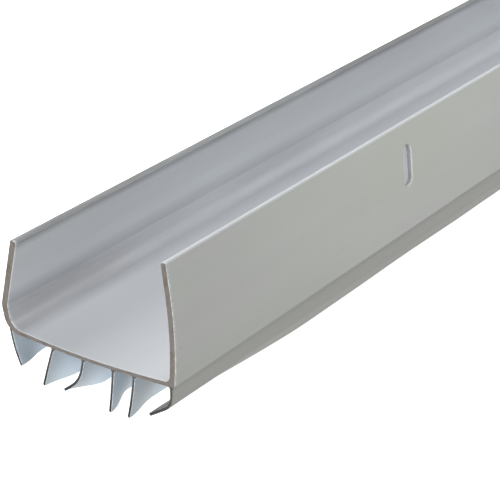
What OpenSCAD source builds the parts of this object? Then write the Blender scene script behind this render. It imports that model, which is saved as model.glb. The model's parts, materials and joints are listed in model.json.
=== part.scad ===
/* [Channel] */
// Length of the sweep, which is the width of the door
length = 914; // [300:1:1220]
// Clear width between the feet of the two legs: a 44.45 mm door with a little slack
channel_w = 44.8; // [37:0.1:60]
// Thickness of the web under the door
web_t = 1.2; // [1:0.05:2.4]
// Thickness of the two legs
leg_t = 1.5; // [1.2:0.05:2.4]

/* [Front leg] */
// Height of the front leg above the door seat
front_leg_h = 28.4; // [27:0.1:45]
// Outward slope of the front leg at its foot, in degrees
front_flare = 4; // [2:0.5:5]
// Inward slope of the front leg at its top, in degrees
front_lean = 8; // [4:0.5:9]
// Radius of the long bow between the two slopes
front_bow_r = 100; // [60:1:104]

/* [Rear leg] */
// Height of the rear leg above the door seat
rear_leg_h = 22.2; // [16:0.1:40]
// Outward slope of the rear leg below its knee, in degrees
rear_flare = 10; // [2:0.5:12]
// Inward slope of the rear leg above its knee, in degrees
rear_lean = 14.5; // [5:0.5:18]
// Height of the knee above the foot's axis
rear_knee_z = 6.7; // [4:0.1:12]
// Radius of the knee, at the middle of the wall
rear_knee_r = 3; // [2:0.1:6]

/* [Screw slots] */
// Number of screw slots in the front leg
slot_count = 4; // [2:1:6]
// Width of a slot, along the door
slot_w = 4; // [3:0.1:6]
// Height of a slot, end to end
slot_h = 10.8; // [7:0.1:14]
// Height of the slots' centres above the door seat
slot_z = 17.2; // [14:0.1:19]
// Distance from each end of the sweep to the nearest slot
slot_end = 98; // [40:1:120]

/* [Seal fins] */
// Thickness of the four seal fins
fin_t = 0.8; // [0.5:0.05:1.2]
// Depth of the seal fins' tips below the web
fin_drop = 11; // [8:0.1:14]
// Root of the rear seal fin, as a share of the half width
rear_seal_at = -0.465; // [-0.5:0.005:-0.4]
// Root of the rear middle seal fin, as a share of the half width
rear_mid_at = -0.075; // [-0.12:0.005:-0.03]
// Root of the front middle seal fin, as a share of the half width
front_mid_at = 0.305; // [0.25:0.005:0.33]
// Root of the front seal fin, as a share of the half width
front_seal_at = 0.565; // [0.55:0.005:0.62]
// Slopes of the four seal fins at their roots, from the rear, in degrees
seal_lean = [18, 12, 6, 7]; // [0:1:24]
// Turns of the four seal fins down to their tips, from the rear, in degrees
seal_curl = [-3, 34, 2, 6]; // [-6:1:40]

/* [Drip fins] */
// Thickness of the two drip fins
drip_t = 0.85; // [0.5:0.05:1.2]
// Distance that a drip fin's root stands out from the foot of a leg's inner face
drip_out = 0.5; // [0.3:0.05:0.6]
// Depth of the front drip fin's tip below the web
front_drip_drop = 9.8; // [7:0.1:12]
// Turn of the front drip fin down to its tip, in degrees
front_drip_curl = 48; // [20:1:60]
// Depth of the rear drip fin's tip below the web
rear_drip_drop = 8.6; // [7:0.1:12]
// Inward slope of the rear drip fin at its root, in degrees
rear_drip_lean = 13; // [4:1:20]
// Turn of the rear drip fin down to its tip, in degrees
rear_drip_curl = 10; // [2:1:20]

/* [Fits] */
// Gap at each flexing root, between its bead and the web
hinge_gap = 0.05; // [0.03:0.01:0.1]
// How far a fin's root bead stands proud of each side of the fin
bead_lip = 0.1; // [0.05:0.01:0.15]

/* [Hidden] */
$fn = 48;
half_w = channel_w / 2;
// The axis of each leg's foot: its bead fills the web's corner and is flush with the underside
foot_x = half_w + leg_t / 2;
foot_z = leg_t / 2 - web_t;
socket_r = leg_t / 2 + hinge_gap;
slot_pitch = (length - 2 * slot_end) / (slot_count - 1);
// Height above the foot's axis at which the front leg's bow starts
bow_z = 0.5;
bow_steps = 12;
knee_steps = 5;
bead_steps = 20;
foot_steps = 10;
tip_steps = 8;
fin_steps = 10;
through = 6;
RIGID = [0.70, 0.71, 0.70];
SOFT = [0.72, 0.74, 0.77];

// Middle line of a flexible strip that starts at the origin and hangs down: it starts at a slope
// of lean degrees towards -X and turns by curl degrees on a round arc while it drops by drop.
function strip_len(drop, lean, curl) =
    abs(curl) < 0.1 ? drop / cos(lean)
                    : drop * curl * PI / 180 / (sin(lean + curl) - sin(lean));
function strip_point(share, len, lean, curl) =
    abs(curl) < 0.1 ? share * len * [-sin(lean), -cos(lean)]
                    : let (r = len * 180 / (PI * curl), a = lean + curl * share)
                      r * [cos(a) - cos(lean), sin(lean) - sin(a)];
function strip_side(angle) = [cos(angle), -sin(angle)];

// A point round the tip of a strip of thickness t, from one side to the other
function tip_point(tip, angle, t, turn) =
    tip + t / 2 * (cos(turn) * strip_side(angle) - sin(turn) * [sin(angle), cos(angle)]);

// Profile of a fin: a curved strip of even thickness with a round tip and a round root bead.
// drop is the depth of its lowest point below the web.
module fin_profile(t, drop, lean, curl) {
    bead_r = t / 2 + bead_lip;
    fall = drop - hinge_gap - bead_r - t / 2;
    len = strip_len(fall, lean, curl);
    tip = strip_point(1, len, lean, curl);
    front = [for (i = [1:fin_steps])
        strip_point(i / fin_steps, len, lean, curl)
        + t / 2 * strip_side(lean + curl * i / fin_steps)];
    rear = [for (i = [fin_steps:-1:1])
        strip_point(i / fin_steps, len, lean, curl)
        - t / 2 * strip_side(lean + curl * i / fin_steps)];
    round_tip = [for (i = [1:tip_steps - 1])
        tip_point(tip, lean + curl, t, 180 * i / tip_steps)];
    // the bead runs round from where the strip's rear side meets it to where the front side does
    mouth = asin(t / 2 / bead_r);
    bead = [for (i = [0:bead_steps]) let (a = lean + mouth + (360 - 2 * mouth) * i / bead_steps)
        -bead_r * [sin(a), cos(a)]];
    polygon(concat(front, round_tip, rear, bead));
}

// A profile drawn in X and Z, run along the whole length
module run() {
    rotate([90, 0, 0]) linear_extrude(height = length, center = true) children();
}

// A fin whose tip leans towards -X, under the web at x. A drip fin at the rear is a mirror of this.
module fin(x, t, drop, lean, curl) {
    run() translate([x, -web_t - hinge_gap - t / 2 - bead_lip]) fin_profile(t, drop, lean, curl);
}

// Profile of a leg, with its foot's axis at the origin and its outer face towards +X: an outward
// slope, a round bend that starts at bend_z, and an inward slope up to the height h.
module leg_profile(h, flare, lean, bend_z, bend_r, steps) {
    start = [bend_z * tan(flare), bend_z];
    centre = start + bend_r * [-cos(flare), sin(flare)];
    bend_end = centre + bend_r * [cos(lean), sin(lean)];
    top = bend_end + (h - bend_end[1]) * [-tan(lean), 1];
    across = leg_t / 2 * [cos(lean), sin(lean)];
    turn = flare + lean;
    outer = [for (i = [0:steps]) let (a = flare - turn * i / steps)
        centre + (bend_r + leg_t / 2) * [cos(a), -sin(a)]];
    inner = [for (i = [steps:-1:0]) let (a = flare - turn * i / steps)
        centre + (bend_r - leg_t / 2) * [cos(a), -sin(a)]];
    foot = [for (i = [0:foot_steps]) let (a = -180 - flare + 180 * i / foot_steps)
        leg_t / 2 * [cos(a), sin(a)]];
    polygon(concat(foot, outer, [top + across, top - across], inner));
}

// One round-ended slot, run through the front leg
module slot_cut() {
    straight = slot_h - slot_w;
    translate([0, -slot_w / 2, -straight / 2]) cube([2 * through, slot_w, straight]);
    for (side = [-1, 1])
        translate([0, 0, side * straight / 2])
            rotate([0, 90, 0]) cylinder(h = 2 * through, d = slot_w);
}

// The flat web that the door's bottom edge rests on. Each end is hollowed for a leg's foot bead.
module web() {
    end_turn = asin((web_t + foot_z) / socket_r);
    hollow = [for (i = [0:foot_steps]) let (a = 180 + end_turn * i / foot_steps)
        [foot_x, foot_z] + socket_r * [cos(a), sin(a)]];
    front_end = concat([[half_w - hinge_gap, 0]], hollow);
    rear_end = [for (i = [len(front_end) - 1:-1:0]) [-front_end[i][0], front_end[i][1]]];
    color(RIGID) run() polygon(concat(front_end, rear_end));
}

// The taller leg, on the outside of the door, with the row of upright screw slots
module front_leg() {
    color(RIGID) difference() {
        run() translate([foot_x, foot_z])
            leg_profile(front_leg_h - foot_z, front_flare, front_lean, bow_z, front_bow_r, bow_steps);
        for (i = [0:slot_count - 1])
            translate([half_w - through, i * slot_pitch + slot_end - length / 2, slot_z])
                slot_cut();
    }
}

// The shorter leg, on the inside of the door, bent at its knee
module rear_leg() {
    color(RIGID) mirror([1, 0, 0]) run() translate([foot_x, foot_z])
        leg_profile(rear_leg_h - foot_z, rear_flare, rear_lean, rear_knee_z, rear_knee_r,
                    knee_steps);
}

module front_drip_fin() {
    color(SOFT) fin(half_w + drip_out, drip_t, front_drip_drop, 0, front_drip_curl);
}

module rear_drip_fin() {
    color(SOFT) mirror([1, 0, 0])
        fin(half_w + drip_out, drip_t, rear_drip_drop, rear_drip_lean, rear_drip_curl);
}

// A seal fin by its place from the rear, 0 to 3
module seal_fin(place, at) {
    color(SOFT) fin(at * half_w, fin_t, fin_drop, seal_lean[place], seal_curl[place]);
}

module rear_seal_fin() {
    seal_fin(0, rear_seal_at);
}

module rear_middle_fin() {
    seal_fin(1, rear_mid_at);
}

module front_middle_fin() {
    seal_fin(2, front_mid_at);
}

module front_seal_fin() {
    seal_fin(3, front_seal_at);
}

web();
front_leg();
rear_leg();
rear_drip_fin();
rear_seal_fin();
rear_middle_fin();
front_middle_fin();
front_seal_fin();
front_drip_fin();
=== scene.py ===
import json
import math

import bmesh
import bpy
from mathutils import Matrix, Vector, noise


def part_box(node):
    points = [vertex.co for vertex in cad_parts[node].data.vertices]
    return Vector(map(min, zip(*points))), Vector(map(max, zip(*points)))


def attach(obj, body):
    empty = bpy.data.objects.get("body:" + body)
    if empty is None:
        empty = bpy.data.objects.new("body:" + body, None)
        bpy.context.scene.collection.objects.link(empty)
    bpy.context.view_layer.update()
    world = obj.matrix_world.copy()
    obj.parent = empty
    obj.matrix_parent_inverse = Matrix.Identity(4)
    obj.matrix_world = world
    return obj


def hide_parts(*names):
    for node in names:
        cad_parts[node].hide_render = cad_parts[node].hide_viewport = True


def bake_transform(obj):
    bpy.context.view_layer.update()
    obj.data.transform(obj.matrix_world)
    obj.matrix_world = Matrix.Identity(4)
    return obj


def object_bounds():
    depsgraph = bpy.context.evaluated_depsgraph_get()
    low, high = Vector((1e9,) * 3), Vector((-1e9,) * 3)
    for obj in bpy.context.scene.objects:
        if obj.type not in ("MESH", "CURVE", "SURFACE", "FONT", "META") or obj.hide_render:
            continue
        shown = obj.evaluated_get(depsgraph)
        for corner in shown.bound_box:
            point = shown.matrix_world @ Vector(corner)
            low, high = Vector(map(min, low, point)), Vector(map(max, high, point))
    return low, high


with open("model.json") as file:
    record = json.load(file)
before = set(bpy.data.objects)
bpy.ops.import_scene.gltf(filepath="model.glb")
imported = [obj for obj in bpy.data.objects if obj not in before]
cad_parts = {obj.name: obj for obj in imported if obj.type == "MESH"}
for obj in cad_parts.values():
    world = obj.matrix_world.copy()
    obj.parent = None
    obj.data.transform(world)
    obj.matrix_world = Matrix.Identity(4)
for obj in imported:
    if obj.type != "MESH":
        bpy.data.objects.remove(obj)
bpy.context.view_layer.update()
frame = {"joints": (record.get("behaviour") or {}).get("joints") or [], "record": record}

# A slip-on door sweep: a rigid vinyl channel with six soft fins under it. Each member is a lofted
# skin with rounded edges, filleted roots and sawn ends, built round the CAD's hinges and boxes.
# Profiles are worked out in millimetres and turned into metres when a mesh is made.
MM = 0.001


# ------------------------------------------------------------ what the frame says, in millimetres
def hinge(body):
    """X and Z of the hinge that a body turns about."""
    row = next(j for j in frame["joints"] if j["child"] == body)
    return Vector((row["pos_m"][0], row["pos_m"][2])) / MM


def box_mm(node):
    low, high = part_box(node)
    return low / MM, high / MM


web_low, web_high = box_mm("web")
END = web_high.y
WEB_T = web_high.z - web_low.z
FOOT = hinge("front_leg")
LEG_T = 2 * (FOOT.y - web_low.z)
HALF_W = FOOT.x - LEG_T / 2
slots = next(m for m in frame["record"]["mounts"] if m["name"] == "screw_slots")

# ------------------------------------------------------------ shape values, in mm and degrees
TOP_SAG = 1.0         # the web's upper face dips this much in the middle
UNDER_SAG = 0.85      # and its underside this much
SEAM = 19.0           # the web's skin meets a leg's skin here, inboard of the fillet
TOP_R = 0.5           # edges of a leg's top
BURR = 0.09           # softened edge round a sawn end
FLARE_REACH = 10.0    # sawing has bent the fins' ends over this length, unless a fin has its own
DROOP = 0.35          # how far the seal fins' edges hang below the CAD fins
SHY = 0.02            # a fin's sawn end stands this far behind the channel's: they never coincide
ROOT_BURY = 0.35      # how far a fin's root runs up into the web
ROOT_FILLET = 0.55    # height of the fillet at a fin's root
LEG_WANDER = 0.12     # how far a leg's top strays from a straight line, over WANDER_PERIOD
WANDER_PERIOD = 170
SLOW_RIPPLE = 2.2     # degrees by which a fin's turn wanders along the sweep, over 60 mm
QUICK_RIPPLE = 1.5    # and over 19 mm
SHARP = 32            # an edge that turns more than this is shaded as an edge

# The bend of a leg starts bend_z above its foot's axis, and steps is how many facets it has. fillet
# and corner are the radii inside and outside the corner between a leg and the web, flat is how far
# the web runs on beside the leg before they start, and proud is how far the outer face stands out
# past the CAD's.
LEGS = {
    "front_leg": dict(side=1, flare=4, lean=8, bend_z=0.5, bend_r=100, steps=26, fillet=1.5,
                      corner=0.85, flat=1.2, proud=0.0),
    "rear_leg": dict(side=-1, flare=10, lean=12.5, bend_z=5.2, bend_r=3, steps=10, fillet=3.4,
                     corner=4.5, flat=0.3, proud=0.3),
}
# side is the way a fin's tip leans. mid and end are the slope at its root and the turn down to its
# tip, along the sweep and at its cut ends, and reach is how far in from a cut end one becomes the
# other. bend is the part of its length in which it turns, and torn is how much the saw has drawn
# its tip out, or trimmed it if below 0. root_up is how far the round at the rear corner lifts its
# root, and bury and fillet stand in for ROOT_BURY and ROOT_FILLET.
FINS = {
    "rear_drip_fin": dict(side=1, t=0.8, mid=(1, 2), end=(7, 19), bend=(0, 1), torn=-0.4,
                          root_up=1.55, bury=0.4, fillet=0.2),
    "rear_seal_fin": dict(side=-1, t=0.75, mid=(7, -1), end=(19, -4), bend=(0, 1), torn=0.25),
    "rear_middle_fin": dict(side=-1, t=0.75, mid=(6, 13), end=(11, 41), bend=(0.1, 0.9), torn=0.9),
    "front_middle_fin": dict(side=-1, t=0.75, mid=(11, 24), end=(5, 4), bend=(0, 1), torn=-0.35),
    "front_seal_fin": dict(side=-1, t=0.75, mid=(10, 15), end=(6, 7), bend=(0, 1), torn=-0.15),
    "front_drip_fin": dict(side=-1, t=0.8, mid=(0, 33), end=(0, 57), bend=(0.15, 0.64), torn=0.7,
                           reach=62),
}


# ------------------------------------------------------------ small tools
def smooth(share):
    share = min(1.0, max(0.0, share))
    return share * share * (3 - 2 * share)


def ripple(seed, y, period):
    """A slow wander along the length, within about -1 to 1. The same on every run."""
    return noise.noise(Vector((y / period, seed * 7.31, 0.5)))


def web_top(x):
    """Height of the web's upper face, and below it of its underside, across the channel."""
    return -TOP_SAG * math.cos(math.pi / 2 * min(1.0, abs(x) / HALF_W))


def web_under(x):
    return -WEB_T - UNDER_SAG * math.cos(math.pi / 2 * min(1.0, abs(x) / HALF_W))


def root_z(node):
    """Height of the surface that a fin hangs from, which is round at the rear corner."""
    return web_under(hinge(node).x) + FINS[node].get("root_up", 0)


def rounded(before, corner, after, radius, steps):
    """Points of the arc that rounds a corner between two straight edges."""
    to_a, to_b = (before - corner).normalized(), (after - corner).normalized()
    half = to_a.angle(to_b) / 2
    centre = corner + (to_a + to_b).normalized() * radius / math.sin(half)
    first = corner + to_a * radius / math.tan(half) - centre
    last = corner + to_b * radius / math.tan(half) - centre
    turn = math.pi - 2 * half
    return [centre + (first * math.sin(turn * (1 - k / steps)) + last * math.sin(turn * k / steps))
            / math.sin(turn) for k in range(steps + 1)]


def stations(extra=()):
    """Places along the length, close together near both sawn ends and at the extra places."""
    half = [0.0]
    for from_end, step in ((70, 12), (45, 2.5), (4, 1.3)):
        while half[-1] < END - from_end:
            half.append(half[-1] + step)
    half = [y for y in half if y < END - 2] + [END - 1.2, END - 0.5, END - BURR, END]
    ys = sorted(set([-y for y in half] + half))
    for y in extra:
        ys = [k for k in ys if abs(k - y) > 0.4 or abs(k) > END - 2] + [y]
    return sorted(ys)


def inset(ring, depth, fixed):
    """A ring drawn in by depth. A point at a seam, where fixed(point) is true, moves in Z alone."""
    area = sum(a.x * b.y - b.x * a.y for a, b in zip(ring, ring[1:] + ring[:1]))
    turn = 1 if area > 0 else -1
    drawn = []
    for k, p in enumerate(ring):
        along = (ring[(k + 1) % len(ring)] - ring[k - 1]).normalized()
        inward = Vector((-along.y, along.x)) * turn
        rough = depth * (1 + 0.5 * noise.noise(Vector((p.x * 1.7, 3.1, p.y * 1.7))))
        if fixed(p):
            middle = (web_top(p.x) + web_under(p.x)) / 2
            inward = Vector((0, 1 if p.y < middle else -1))
        drawn.append(p + inward * rough)
    return drawn


def loft(name, ring_at, ys, fixed=lambda p: False):
    """A closed mesh through the ring at each station. Its sawn ends get the second material."""
    bm = bmesh.new()
    rows = []
    for y in ys:
        ring = ring_at(y)
        if abs(y) > END - BURR / 2:
            ring = inset(ring, BURR, fixed)
        rows.append([bm.verts.new((p.x * MM, y * MM, p.y * MM)) for p in ring])
    for row, following in zip(rows, rows[1:]):
        for k in range(len(row)):
            n = (k + 1) % len(row)
            bm.faces.new((row[k], row[n], following[n], following[k]))
    for row in (rows[0], rows[-1]):
        bm.faces.new(row).material_index = 1
    bmesh.ops.recalc_face_normals(bm, faces=bm.faces)
    bmesh.ops.triangulate(bm, faces=[f for f in bm.faces if len(f.verts) > 4],
                          ngon_method="EAR_CLIP")
    return finished(name, bm)


def shaded(mesh):
    mesh.shade_smooth()
    mesh.set_sharp_from_angle(angle=math.radians(SHARP))


def finished(name, bm):
    mesh = bpy.data.meshes.new(name)
    bm.to_mesh(mesh)
    bm.free()
    shaded(mesh)
    obj = bpy.data.objects.new(name, mesh)
    bpy.context.scene.collection.objects.link(obj)
    return obj


# ------------------------------------------------------------ profiles
def leg_line(spec, height):
    """Middle line of a leg from its foot's axis up, as (out, up, slope) with slope in radians."""
    flare, lean = math.radians(spec["flare"]), math.radians(spec["lean"])
    r, n = spec["bend_r"], spec["steps"]
    start = Vector((spec["bend_z"] * math.tan(flare), spec["bend_z"]))
    centre = start + r * Vector((-math.cos(flare), math.sin(flare)))
    line = [(start.x * k / 4, start.y * k / 4, flare) for k in range(4)]
    for k in range(n + 1):
        a = flare - (flare + lean) * k / n
        line.append((centre.x + r * math.cos(a), centre.y - r * math.sin(a), a))
    x, z = line[-1][:2]
    for k in range(1, 7):
        up = (height - z) * k / 6
        line.append((x - up * math.tan(lean), z + up, -lean))
    return line


def leg_wander(spec, y, share):
    """How far a leg strays outwards at one station, at a share of its height."""
    return LEG_WANDER * ripple(3 + spec["side"], y, WANDER_PERIOD) * share ** 2


def leg_side(line, offset):
    """A face of a leg, in the row's X and Z for the front leg."""
    return [FOOT + Vector((u + offset * math.cos(a), z - offset * math.sin(a))) for u, z, a in line]


def leg_ring(node, y):
    """Profile of a leg with the strip of web beside it, at one station."""
    spec = LEGS[node]
    height = box_mm(node)[1].z - FOOT.y - LEG_T / 2 * math.sin(math.radians(spec["lean"]))
    line = leg_line(spec, height)
    line = [(u + leg_wander(spec, y, z / height), z, a) for u, z, a in line]
    inner, outer = leg_side(line, -LEG_T / 2), leg_side(line, LEG_T / 2 + spec["proud"])
    corner = Vector((HALF_W, 0))
    heel = Vector((outer[0].x - (outer[0].y + WEB_T) * math.tan(line[0][2]), -WEB_T))
    floor_x = [SEAM + spec["flat"] * k for k in (0, 0.5, 1)]
    floor_in = [Vector((x, web_top(x))) for x in floor_x]
    floor_under = [Vector((x, web_under(x))) for x in reversed(floor_x)]
    rise = [p for p in inner if p.y > spec["fillet"] + 0.25]
    ring = floor_in
    ring += rounded(floor_in[-1], corner, rise[0], spec["fillet"], 12)
    ring += rise[:-1]
    ring += rounded(inner[-2], inner[-1], outer[-1], TOP_R, 6)
    ring += rounded(inner[-1], outer[-1], outer[-2], TOP_R, 6)
    ring += [p for p in reversed(outer[:-1]) if p.y > spec["corner"] - WEB_T + 0.25]
    ring += rounded(outer[4], heel, floor_under[0], spec["corner"], 12)
    ring += floor_under
    return [Vector((p.x * spec["side"], p.y)) for p in ring]


def web_ring(y):
    """Profile of the web between the two legs' skins, the same at every station."""
    xs = [SEAM * (k / 16 - 1) for k in range(33)]
    return ([Vector((x, web_top(x))) for x in xs]
            + [Vector((x, web_under(x))) for x in reversed(xs)])


def fin_slope(spec, lean, turn, share):
    """Slope of a fin, in radians, at a share of the way down it."""
    first, last = spec["bend"]
    if first:
        share = smooth((share - first) / (last - first))
    return math.radians(lean + turn * share)


def fin_length(node):
    """Length of a fin that puts its tip, along the sweep, at the CAD fin's depth."""
    spec = FINS[node]
    lowest = box_mm(node)[0].z
    shares = [(k + 0.5) / 40 for k in range(40)]
    fall = sum(math.cos(fin_slope(spec, *spec["mid"], s)) for s in shares) / 40
    return (root_z(node) - lowest - spec["t"] / 2 + DROOP) / fall


def fin_ring(node, y):
    """Profile of a fin at one station: filleted root, even strip, rounded tip."""
    spec = FINS[node]
    at_end = smooth(1 - (END - abs(y)) / spec.get("reach", FLARE_REACH))
    seed = sorted(FINS).index(node) + 11
    lean, turn = (a + (b - a) * at_end for a, b in zip(spec["mid"], spec["end"]))
    turn += SLOW_RIPPLE * ripple(seed, y, 60) + QUICK_RIPPLE * ripple(seed + 20, y, 19)
    t, steps = spec["t"], 26
    length = fin_length(node) + at_end ** 2 * spec["torn"]
    bury, fillet = spec.get("bury", ROOT_BURY), spec.get("fillet", ROOT_FILLET)

    def down_at(a):
        return Vector((spec["side"] * math.sin(a), -math.cos(a)))

    def side_of(a):
        return Vector((math.cos(a), spec["side"] * math.sin(a)))

    def half(s):
        swell = fillet - math.sqrt(fillet ** 2 - (fillet - s) ** 2) if 0 < s < fillet else 0
        return t / 2 + 0.8 * (fillet if s <= 0 else swell)

    p = Vector((hinge(node).x, root_z(node)))
    a = fin_slope(spec, lean, turn, 0)
    line = [(p - bury * down_at(a), a, -bury), (p.copy(), a, 0.0)]
    for k in range(steps):
        p = p + length / steps * down_at(fin_slope(spec, lean, turn, (k + 0.5) / steps))
        share = (k + 1) / steps
        line.append((p.copy(), fin_slope(spec, lean, turn, share), length * share))
    right = [q + half(s) * side_of(a) for q, a, s in line]
    left = [q - half(s) * side_of(a) for q, a, s in line]
    tip, a, _ = line[-1]
    cap = [tip + t / 2 * (math.cos(math.pi * k / 8) * side_of(a)
                          + 0.85 * math.sin(math.pi * k / 8) * down_at(a)) for k in range(1, 8)]
    return right + cap + left[::-1]


# ------------------------------------------------------------ materials
class Graph:
    """Short ways to add and join the nodes of one material."""

    def __init__(self, name):
        self.material = bpy.data.materials.new(name)
        self.material.use_nodes = True
        self.tree = self.material.node_tree
        self.shader = next(n for n in self.tree.nodes if n.type == "BSDF_PRINCIPLED")
        where = self.add("ShaderNodeTexCoord")
        self.place, self.facing = where.outputs["Object"], where.outputs["Normal"]

    def add(self, kind, inputs=(), **settings):
        node = self.tree.nodes.new(kind)
        for key, value in settings.items():
            setattr(node, key, value)
        for key, value in dict(inputs).items():
            self.put(node.inputs[key], value)
        return node

    def put(self, socket, value):
        if isinstance(value, bpy.types.NodeSocket):
            self.tree.links.new(value, socket)
        else:
            socket.default_value = value

    def scaled(self, x, y, z):
        """Places in units of x, y and z millimetres."""
        return self.add("ShaderNodeMapping", {"Vector": self.place, "Scale": (
            1 / (x * MM), 1 / (y * MM), 1 / (z * MM))}).outputs["Vector"]

    def noise(self, place, detail=2.0, rough=0.5, distort=0.0):
        return self.add("ShaderNodeTexNoise", {"Vector": place, "Scale": 1.0, "Detail": detail,
                        "Roughness": rough, "Distortion": distort}).outputs["Fac"]

    def spread(self, value, low, high, to_low=0.0, to_high=1.0):
        return self.add("ShaderNodeMapRange", {"Value": value, "From Min": low, "From Max": high,
                        "To Min": to_low, "To Max": to_high}).outputs["Result"]

    def math(self, kind, a, b):
        return self.add("ShaderNodeMath", {0: a, 1: b}, operation=kind).outputs[0]

    def mix(self, share, a, b, kind="MIX"):
        node = self.add("ShaderNodeMix", data_type="RGBA", blend_type=kind)
        self.put(node.inputs[0], share)
        self.put(node.inputs[6], a)
        self.put(node.inputs[7], b)
        return node.outputs[2]

    def part(self, axis, of=None):
        return self.add("ShaderNodeSeparateXYZ", {0: of or self.place}).outputs[axis]

    def bump(self, height, distance_mm, under=None):
        inputs = {"Height": height, "Distance": distance_mm * MM, "Strength": 1.0}
        if under:
            inputs["Normal"] = under
        return self.add("ShaderNodeBump", inputs).outputs["Normal"]

    def finish(self, colour, roughness, normal, ior):
        self.put(self.shader.inputs["Base Color"], colour)
        self.put(self.shader.inputs["Roughness"], roughness)
        self.put(self.shader.inputs["Normal"], normal)
        self.shader.inputs["IOR"].default_value = ior
        return self.material


def grey(r, g, b):
    return (r, g, b, 1.0)


# Shades that multiply a base colour. Painted shade: the two warm greys that darken the outer front
# face, the legs near the cut ends, the rear corner, and within so many mm of the rear leg's top.
# Painted light: the lighter inner rear face. Last, the fins darker towards their cut ends
PAINTED_FRONT_SHADE = (grey(0.81, 0.825, 0.715), grey(0.84, 0.82, 0.77))
PAINTED_REAR_LIGHT = grey(1.24, 1.24, 1.24)
PAINTED_END_SHADE = grey(0.86, 0.86, 0.86)
PAINTED_CORNER_SHADE = grey(0.64, 0.625, 0.63)
PAINTED_TOP_SHADE = ((13.0, grey(0.80, 0.80, 0.80)), (2.6, grey(0.46, 0.455, 0.44)))
FIN_END_DARKER = grey(0.74, 0.72, 0.69)
REAR_TOP = box_mm("rear_leg")[1].z


def shaded_by(g, share, base, shade):
    """The base colour multiplied by a shade where share is 1."""
    return g.mix(share, base, g.mix(1.0, base, shade, "MULTIPLY"))


def channel_tones(g, base):
    """Painted light and shade on the channel: its outer front face is painted a warmer, darker grey
    as shade, its inner rear face a little lighter as light, and painted shade darkens the legs near
    the cut ends, the rear corner and the rear leg's top edge."""
    # Painted shade: the outer front face is made a darker, warmer grey
    outward = g.spread(g.part("X", g.facing), 0.25, 0.9)
    front = g.spread(g.part("X"), 15 * MM, 18 * MM)
    patch = g.noise(g.scaled(30, 80, 16), 2.0)
    warm = g.mix(g.spread(patch, 0.35, 0.65), *PAINTED_FRONT_SHADE)
    base = shaded_by(g, g.math("MULTIPLY", outward, front), base, warm)
    # Painted light: the inner rear face is made lighter
    rear = g.spread(g.part("X"), -18 * MM, -15 * MM, 1.0, 0.0)
    base = shaded_by(g, g.math("MULTIPLY", outward, rear), base, PAINTED_REAR_LIGHT)
    uneven = g.spread(g.noise(g.scaled(3, 30, 3), 3.0), 0.3, 0.7, 0.75, 1.15)
    from_middle = g.math("ABSOLUTE", g.part("Y"), 0.0)
    # Painted shade: the legs are darker towards the cut ends
    on_legs = g.spread(g.math("ABSOLUTE", g.part("X"), 0.0), 18 * MM, 21.5 * MM)
    end_shade_mask = g.math("MULTIPLY", on_legs, g.spread(from_middle, (END - 80) * MM, (END - 8) * MM))
    base = shaded_by(g, end_shade_mask, base, PAINTED_END_SHADE)
    # Painted shade in the rear corner, patchy and strongest near the cut end
    corner = g.math("MULTIPLY", g.spread(g.part("X"), -21.8 * MM, -16.5 * MM, 1.0, 0.0),
                    g.spread(g.part("Z"), 4.5 * MM, 9.5 * MM, 1.0, 0.0))
    near_end = g.spread(from_middle, (END - 200) * MM, (END - 10) * MM, 0.4, 1.0)
    corner = g.math("MULTIPLY", corner, near_end)
    base = shaded_by(g, g.math("MULTIPLY", corner, uneven), base, PAINTED_CORNER_SHADE)
    # Painted shade: two patchy bands, within 13 and 2.6 mm of the rear leg's top, darken it
    for reach, shade in PAINTED_TOP_SHADE:
        edge = g.spread(g.part("Z"), (REAR_TOP - reach) * MM, (REAR_TOP - 0.5) * MM)
        edge = g.math("MULTIPLY", g.math("MULTIPLY", rear, edge), uneven)
        base = shaded_by(g, edge, base, shade)
    return base


def fin_tones(g, base):
    """A fin is darker towards its cut ends."""
    from_middle = g.math("ABSOLUTE", g.part("Y"), 0.0)
    # darker within 13 mm of each cut end
    grime = g.spread(from_middle, (END - 13) * MM, (END - 1) * MM)
    return shaded_by(g, grime, base, FIN_END_DARKER)


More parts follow.
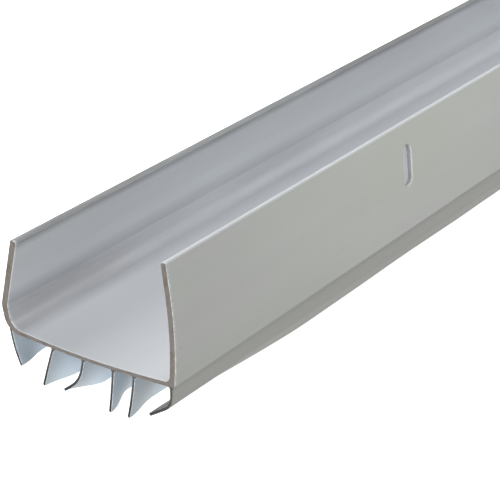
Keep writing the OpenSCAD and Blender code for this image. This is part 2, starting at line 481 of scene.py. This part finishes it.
def vinyl(name, colour, gloss, mottle, streak, ior, rim_shade, tones=None):
    """Extruded vinyl: lines drawn along it by the die, cloudy patches, fine satin grain, scuffs,
    specks, and a paler or grimy rim beside the sawn ends."""
    g = Graph(name)
    lines = g.noise(g.scaled(0.55, 260, 0.55), 3.0, 0.6)
    broad = g.noise(g.scaled(5, 700, 5), 1.0)
    clouds = g.noise(g.scaled(26, 60, 26), 4.0, 0.55)
    grain = g.noise(g.scaled(0.16, 0.22, 0.16), 2.0)
    scuff = g.noise(g.scaled(2.4, 22, 1.1), 3.0, 0.65, 0.8)
    scuffs = g.spread(scuff, 0.63, 0.72)
    specks = g.add("ShaderNodeTexVoronoi", {"Vector": g.scaled(7, 7, 7), "Scale": 1.0,
                   "Randomness": 1.0}).outputs["Distance"]
    speck = g.spread(specks, 0.035, 0.055, 1.0, 0.0)
    rim = g.spread(g.math("ABSOLUTE", g.part("Y"), 0.0), (END - 0.9) * MM, (END - 0.1) * MM)
    rim = g.math("MULTIPLY", rim, g.spread(g.noise(g.scaled(0.7, 0.7, 0.7), 2.0), 0.4, 0.62))

    shade = g.spread(clouds, 0.3, 0.7, 1 - mottle, 1 + mottle)
    shade = g.math("MULTIPLY", shade, g.spread(lines, 0.3, 0.7, 1 - streak, 1 + streak))
    shade = g.math("MULTIPLY", shade, g.spread(broad, 0.3, 0.7, 1 - streak, 1 + streak))
    tone = g.add("ShaderNodeCombineColor", {0: shade, 1: shade, 2: shade}).outputs[0]
    base = g.mix(1.0, grey(*colour), tone, "MULTIPLY")
    pale = grey(*(min(1.0, c * 1.28) for c in colour))
    dark = grey(*(c * 0.62 for c in colour))
    base = g.mix(g.math("MULTIPLY", scuffs, 0.16), base, pale)
    base = g.mix(g.math("MULTIPLY", speck, 0.35), base, dark)
    # tones adds the painted light and shade on the channel, and the fins' darkening towards their
    # cut ends
    if tones:
        base = tones(g, base)
    base = g.mix(rim, base, grey(*(min(1.0, c * rim_shade) for c in colour)))

    rough = g.spread(clouds, 0.3, 0.7, gloss - 0.04, gloss + 0.05)
    rough = g.math("ADD", rough, g.math("MULTIPLY", scuffs, 0.12))
    normal = g.bump(grain, 0.006)
    normal = g.bump(lines, 0.010, normal)
    normal = g.bump(clouds, 0.05, normal)
    return g.finish(base, rough, normal, ior)


def sawn(name, colour, tip_shade=1.0, from_z=0.0, to_z=1.0):
    """A sawn or punched edge: coarse teeth marks, torn grain, grime, and, between the heights
    from_z and to_z, darker towards a fin's tip."""
    g = Graph(name)
    teeth = {"Vector": g.scaled(1, 1, 1), "Scale": 0.42, "Distortion": 3.2, "Detail": 3.0,
             "Detail Scale": 1.6}
    bands = g.add("ShaderNodeTexWave", teeth, wave_type="BANDS",
                  bands_direction="DIAGONAL").outputs["Fac"]
    torn = g.noise(g.scaled(0.22, 0.22, 0.35), 4.0, 0.65)
    grime = g.noise(g.scaled(1.6, 1.6, 2.4), 3.0, 0.6)
    shade = g.spread(torn, 0.3, 0.7, 0.78, 1.12)
    shade = g.math("MULTIPLY", shade, g.spread(bands, 0.0, 1.0, 0.92, 1.04))
    down = g.spread(g.part("Z"), from_z * MM, to_z * MM, 1.0, tip_shade)
    shade = g.math("MULTIPLY", shade, down)
    tone = g.add("ShaderNodeCombineColor", {0: shade, 1: shade, 2: shade}).outputs[0]
    base = g.mix(1.0, grey(*colour), tone, "MULTIPLY")
    brown = grey(colour[0] * 0.62, colour[1] * 0.52, colour[2] * 0.42)
    base = g.mix(g.spread(grime, 0.48, 0.72, 0.0, 0.7), base, brown)
    rough = g.spread(torn, 0.3, 0.7, 0.62, 0.85)
    normal = g.bump(torn, 0.05)
    normal = g.bump(bands, 0.03, normal)
    return g.finish(base, rough, normal, 1.45)


RIGID_GREY = (0.45, 0.467, 0.487)
SOFT_GREY = (0.63, 0.73, 0.84)
# Painted shade: the front drip fin's vinyl is a much darker grey, as shade under the front leg's
# ledge
SHADED_DRIP_GREY = (0.26, 0.265, 0.25)
RIGID_CUT = (0.142, 0.129, 0.118)
SOFT_CUT = (0.072, 0.066, 0.061)
PUNCHED_CUT = (0.31, 0.305, 0.315)
rigid_vinyl = vinyl("rigid_vinyl", RIGID_GREY, gloss=0.44, mottle=0.022, streak=0.014, ior=1.52,
                    rim_shade=1.06, tones=channel_tones)
soft_vinyl = vinyl("soft_vinyl", SOFT_GREY, gloss=0.36, mottle=0.03, streak=0.02, ior=1.5,
                   rim_shade=0.55, tones=fin_tones)
shaded_drip_vinyl = vinyl("shaded_drip_vinyl", SHADED_DRIP_GREY, gloss=0.40, mottle=0.03, streak=0.02, ior=1.5,
                   rim_shade=0.55)
rigid_sawn = sawn("rigid_sawn", RIGID_CUT)
soft_sawn = sawn("soft_sawn", SOFT_CUT, tip_shade=0.35, from_z=-3.0, to_z=-10.5)
punched = sawn("punched", PUNCHED_CUT)


def dressed(obj, face, end):
    obj.data.materials.append(face)
    obj.data.materials.append(end)
    return obj


# ------------------------------------------------------------ the channel
def slot_places():
    count, pitch = slots["dims"]["count"], slots["dims"]["spacing_x_mm"]
    return [(k - (count - 1) / 2) * pitch for k in range(count)]


def slot_cutter(y):
    """A screw slot's opening, flared at both faces so that its edges come out rounded. It is
    built along the leg's own bow, so the rounding is even from top to bottom. Its wall gets the
    third material."""
    spec, centre_z = LEGS["front_leg"], slots["pos_m"][2] / MM
    half_w = slots["dims"]["hole_r_mm"]
    straight = slots["dims"]["slot_length_mm"] / 2 - half_w
    line = leg_line(spec, box_mm("front_leg")[1].z - FOOT.y)
    half_t, outer_r, inner_r = LEG_T / 2, 0.3, 0.2
    n, points = 5, 40

    def at(z):
        for low, high in zip(line, line[1:]):
            if low[1] <= z - FOOT.y <= high[1]:
                k = (z - FOOT.y - low[1]) / (high[1] - low[1])
                return [a + (b - a) * k for a, b in zip(low, high)]
        raise ValueError("a slot runs past its leg")

    levels = [(half_t + 0.5, outer_r + 0.1)]
    levels += [(half_t - outer_r * (1 - math.cos(math.pi / 2 * k / n)) + 0.01,
                outer_r * (1 - math.sin(math.pi / 2 * k / n))) for k in range(n + 1)]
    levels += [(-half_t + inner_r * (1 - math.sin(math.pi / 2 * k / n)) - 0.01,
                inner_r * (1 - math.cos(math.pi / 2 * k / n))) for k in range(n + 1)]
    levels += [(-half_t - 0.5, inner_r + 0.1)]
    bm = bmesh.new()
    rows = []
    for offset, grow in levels:
        row = []
        for k in range(points):
            a = 2 * math.pi * (k + 0.5) / points
            z = centre_z + (half_w + grow) * math.sin(a) + math.copysign(straight, math.sin(a))
            u, up, slope = at(z)
            x = FOOT.x + u + leg_wander(spec, y, up / line[-1][1]) + offset * math.cos(slope)
            row.append(bm.verts.new((x * MM, (y + (half_w + grow) * math.cos(a)) * MM,
                                     (z - offset * math.sin(slope)) * MM)))
        rows.append(row)
    for row, following in zip(rows, rows[1:]):
        for k in range(len(row)):
            n_k = (k + 1) % len(row)
            face = bm.faces.new((row[k], row[n_k], following[n_k], following[k]))
            face.material_index = 2 if row is rows[n + 1] else 0
    bm.faces.new(rows[0])
    bm.faces.new(rows[-1])
    bmesh.ops.recalc_face_normals(bm, faces=bm.faces)
    return finished("slot_cutter", bm)


def cut_slots(leg):
    """Takes the slots out of the leg and leaves a plain mesh."""
    cutters = [slot_cutter(y) for y in slot_places()]
    leg.data.materials.append(punched)
    for cutter in cutters:
        dressed(cutter, rigid_vinyl, rigid_sawn).data.materials.append(punched)
        modifier = leg.modifiers.new("slot", "BOOLEAN")
        modifier.operation, modifier.solver, modifier.object = "DIFFERENCE", "EXACT", cutter
    bpy.context.view_layer.update()
    result = leg.evaluated_get(bpy.context.evaluated_depsgraph_get())
    mesh = bpy.data.meshes.new_from_object(result)
    leg.modifiers.clear()
    leg.data = mesh
    mesh.name = leg.name
    shaded(mesh)
    for cutter in cutters:
        bpy.data.objects.remove(cutter)


def at_seam(p):
    return abs(abs(p.x) - SEAM) < 1e-4


# Extra stations at each slot, so that the leg's faces beside it stay short
near_slots = [y + k for y in slot_places() for k in (-4, -3, 0, 3, 4)]
for node, extra in (("front_leg", near_slots), ("rear_leg", [])):
    leg = loft(node + "_skin", lambda y: leg_ring(node, y), stations(extra), at_seam)
    dressed(leg, rigid_vinyl, rigid_sawn)
    if node == "front_leg":
        cut_slots(leg)
    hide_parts(node)
    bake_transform(leg)

web = dressed(loft("web_skin", web_ring, stations(), at_seam), rigid_vinyl, rigid_sawn)
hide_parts("web")
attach(web, "base")

# ------------------------------------------------------------ the fins
for node in FINS:
    ys = [y * (1 - SHY / END) for y in stations()]
    skin = loft(node + "_skin", lambda y: fin_ring(node, y), ys)
    # The front drip fin takes the darker vinyl, which is painted shade
    dressed(skin, shaded_drip_vinyl if node == "front_drip_fin" else soft_vinyl, soft_sawn)
    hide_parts(node)
    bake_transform(skin)

# ------------------------------------------------------------ floor, light and camera
low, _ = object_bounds()

# Strengths: the world from above and below, and the four softboxes in watts
LIGHT = {"sky": 0.18, "under": 0.85, "left": 35, "right": 27, "top": 5, "front": 320}
SKY_TINT = (0.97, 1.0, 1.03)
UNDER_TINT = (1.0, 1.0, 0.97)
HORIZON = 0.25        # the two blend this far above and below the horizon
BACKDROP_R = 12.0
FLOOR_GAP = 0.0001    # the floor lies this far under the lowest fin
FLOOR_GLOW, BACKDROP_GLOW = 0.7, 0.95


def floor_material(name, glow):
    g = Graph(name)
    base = g.mix(g.noise(g.scaled(90, 90, 90), 3.0), grey(0.90, 0.90, 0.90), grey(0.93, 0.93, 0.93))
    g.shader.inputs["Emission Color"].default_value = (1, 1, 1, 1)
    g.shader.inputs["Emission Strength"].default_value = glow
    return g.finish(base, 0.8, g.bump(g.noise(g.scaled(3, 3, 3), 2.0), 0.02), 1.4)


bm = bmesh.new()
bmesh.ops.create_grid(bm, x_segments=8, y_segments=8, size=BACKDROP_R)
floor = finished("floor", bm)
floor.location = (0, 0, low.z - FLOOR_GAP)
floor.data.materials.append(floor_material("floor", FLOOR_GLOW))
# The floor is seen and takes shadows, but the light from below comes from the studio round it
floor.visible_diffuse = floor.visible_glossy = False

bm = bmesh.new()
bmesh.ops.create_uvsphere(bm, u_segments=48, v_segments=24, radius=BACKDROP_R)
bmesh.ops.reverse_faces(bm, faces=bm.faces)
backdrop = finished("backdrop", bm)
backdrop.data.materials.append(floor_material("backdrop", BACKDROP_GLOW))
backdrop.visible_diffuse = backdrop.visible_glossy = backdrop.visible_shadow = False

world = bpy.data.worlds.new("studio")
bpy.context.scene.world = world
world.use_nodes = True
sky = world.node_tree.nodes["Background"]
direction = world.node_tree.nodes.new("ShaderNodeTexCoord")
upward = world.node_tree.nodes.new("ShaderNodeSeparateXYZ")
band = world.node_tree.nodes.new("ShaderNodeMapRange")
band.inputs["From Min"].default_value = -HORIZON
band.inputs["From Max"].default_value = HORIZON
tints = world.node_tree.nodes.new("ShaderNodeMix")
tints.data_type = "RGBA"
tints.inputs[6].default_value = [LIGHT["under"] * k for k in UNDER_TINT] + [1.0]
tints.inputs[7].default_value = [LIGHT["sky"] * k for k in SKY_TINT] + [1.0]
for a, b in ((direction.outputs["Generated"], upward.inputs[0]),
             (upward.outputs[2], band.inputs["Value"]),
             (band.outputs[0], tints.inputs[0]),
             (tints.outputs[2], sky.inputs["Color"])):
    world.node_tree.links.new(a, b)


def softbox(name, place, width, height):
    """A rectangular white light aimed at the near part of the sweep. The front one is left out of
    reflections, because at a low angle it would blow them out."""
    data = bpy.data.lights.new(name, "AREA")
    data.shape, data.size, data.size_y = "RECTANGLE", width, height
    data.energy = LIGHT[name]
    box = bpy.data.objects.new(name, data)
    box.location = near + Vector(place)
    box.visible_glossy = name != "front"
    box.rotation_euler = (AIM - Vector(place)).to_track_quat("-Z", "Y").to_euler()
    bpy.context.scene.collection.objects.link(box)


# The near cut end, which is in the picture, and a place a little way along, both in metres
near = Vector((0, -END * MM, 0))
AIM = Vector((0, 0.25, 0))
softbox("left", (-1.5, 1.0, 1.3), 1.6, 1.6)
softbox("right", (1.5, 1.3, 1.4), 1.8, 1.8)
softbox("top", (0.0, 0.5, 2.2), 2.4, 2.4)
softbox("front", (0.8, -4.0, 1.8), 3.2, 2.4)

# The camera as fitted to the photograph: its angles, its place from the near cut end, its lens
AZIMUTH, ELEVATION = math.radians(34.775), math.radians(25.273)
FROM_NEAR = Vector((0.247165, -0.293026, 0.205824))
LENS, SENSOR = 140.32, 36.0
camera_data = bpy.data.cameras.new("camera")
camera_data.sensor_width = SENSOR
camera_data.lens = LENS
camera_data.clip_start, camera_data.clip_end = 0.05, 20.0
camera = bpy.data.objects.new("camera", camera_data)
camera.location = near + FROM_NEAR
look = Vector((-math.sin(AZIMUTH) * math.cos(ELEVATION), math.cos(AZIMUTH) * math.cos(ELEVATION),
               -math.sin(ELEVATION)))
camera.rotation_euler = look.to_track_quat("-Z", "Y").to_euler()
bpy.context.scene.collection.objects.link(camera)
bpy.context.scene.camera = camera
bpy.context.scene.view_settings.view_transform = "Standard"
